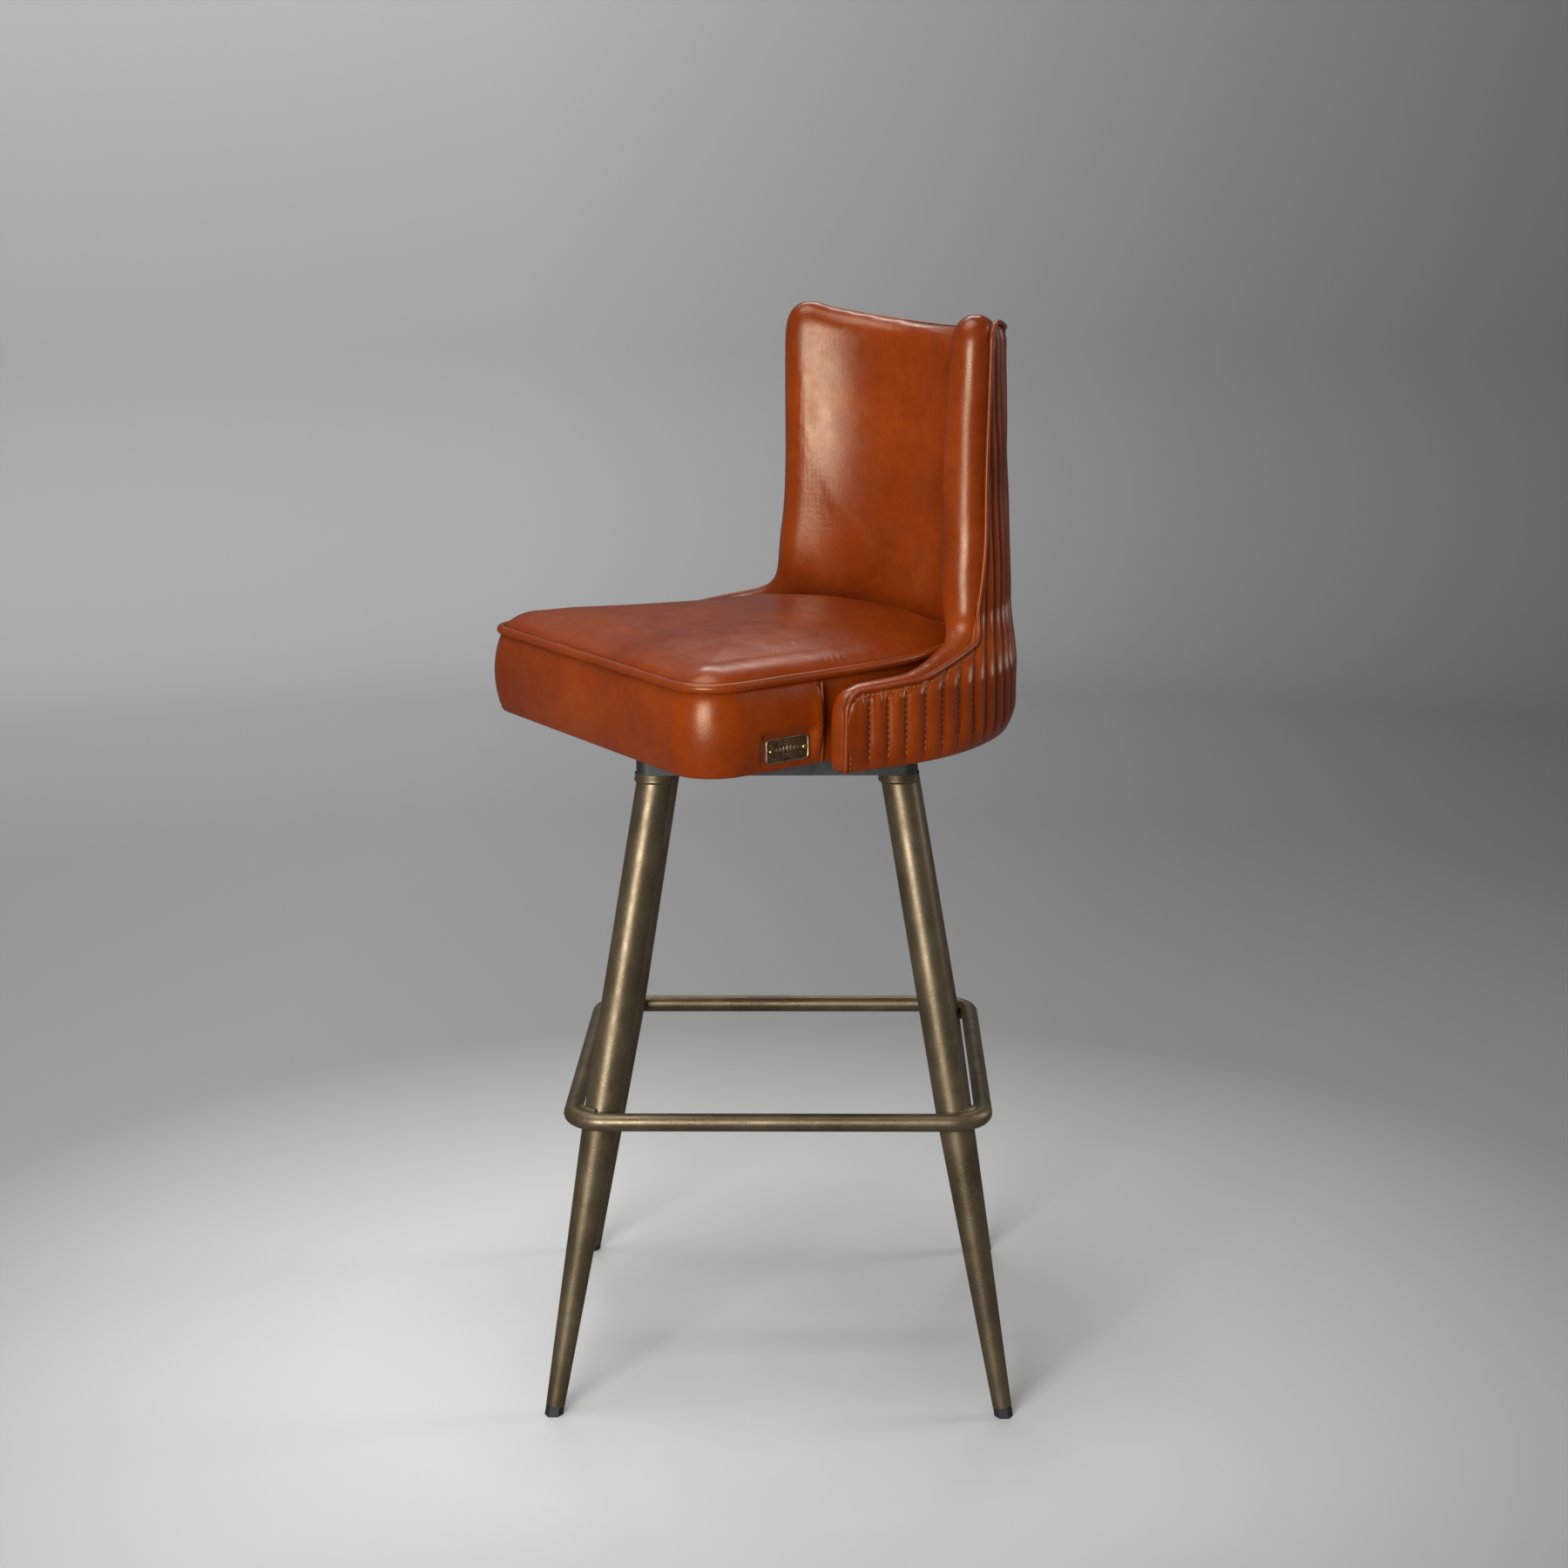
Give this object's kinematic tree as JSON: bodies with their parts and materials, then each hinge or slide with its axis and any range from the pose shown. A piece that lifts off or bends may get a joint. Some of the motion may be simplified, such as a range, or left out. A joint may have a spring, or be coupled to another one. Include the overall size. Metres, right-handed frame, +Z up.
{
  "type": "bar stool with footrest",
  "caption": "Swivel bar stool: tan leather seat with a wrap-round winged back on four splayed bronze-coated legs tied by a square footrest ring.",
  "frame": {"origin": "on the seat's turning axis, at floor level, in the middle of the four feet", "axes": "+Z up along the turning axis; X and Y along the sides of the square leg frame and its footrest ring"},
  "size_m": [0.5692, 0.5802, 1.1439],
  "materials": {
    "bronze_coat": "satin antique bronze powder coat",
    "bronze_weld": "powder-coated weld bead",
    "glide_black": "moulded nylon",
    "zinc_steel": "bright zinc plate",
    "black_steel": "black powder coat",
    "race_steel": "oiled bearing steel",
    "ball_steel": "polished bearing steel",
    "cage_plastic": "natural nylon",
    "plywood": "bare birch plywood",
    "foam": "upholstery foam",
    "seat_leather": "semi-gloss cognac leather",
    "back_leather": "semi-gloss cognac leather",
    "outer_leather": "semi-gloss cognac leather, channel stitched",
    "piping_leather": "semi-gloss cognac leather, rolled",
    "dust_cloth": "black non-woven cloth",
    "antique_brass": "aged, dark in the recess",
    "rivet_brass": "polished"
  },
  "bodies": {
    "base": {"leg_front_left": "bronze_coat", "leg_front_right": "bronze_coat", "leg_rear_left": "bronze_coat", "leg_rear_right": "bronze_coat", "glide_front_left": "glide_black", "glide_front_right": "glide_black", "glide_rear_left": "glide_black", "glide_rear_right": "glide_black", "leg_top_pads": "bronze_coat", "leg_top_welds": "bronze_weld", "leg_end_inserts": "zinc_steel", "footrest_ring": "bronze_coat", "footrest_welds": "bronze_weld", "mounting_pan": "black_steel", "pan_bolts": "zinc_steel", "swivel_lower_plate": "black_steel", "swivel_lower_bolts": "zinc_steel", "swivel_lower_race": "race_steel", "pivot_pin": "race_steel", "pivot_washer": "zinc_steel", "pivot_nut": "zinc_steel"},
    "bearing_cage": {"bearing_balls": "ball_steel", "ball_cage": "cage_plastic"},
    "seat": {"swivel_upper_race": "race_steel", "swivel_upper_plate": "black_steel", "swivel_upper_bolts": "zinc_steel", "pivot_bushing": "cage_plastic", "tee_nuts": "zinc_steel", "seat_board": "plywood", "seat_foam": "foam", "seat_top_panel": "seat_leather", "seat_boxing": "seat_leather", "seat_piping": "piping_leather", "dust_cover": "dust_cloth", "back_outer_panel": "outer_leather", "back_shell": "plywood", "back_inner_pad": "back_leather", "back_edge_roll": "back_leather", "back_edge_welt": "piping_leather", "shell_screws": "zinc_steel", "badge_plate": "antique_brass", "badge_rivets": "rivet_brass"}
  },
  "joints": [
    {"name": "seat_swivel", "type": "hinge", "parent": "base", "child": "seat", "pos_m": [0, 0, 0.6965], "axis": [0, 0, 1], "continuous": true},
    {"name": "cage_turn", "type": "hinge", "parent": "base", "child": "bearing_cage", "pos_m": [0, 0, 0.6965], "axis": [0, 0, 1], "continuous": true}
  ],
  "couplings": [
    {"joint": "cage_turn", "follows": "seat_swivel", "ratio": 0.5}
  ]
}
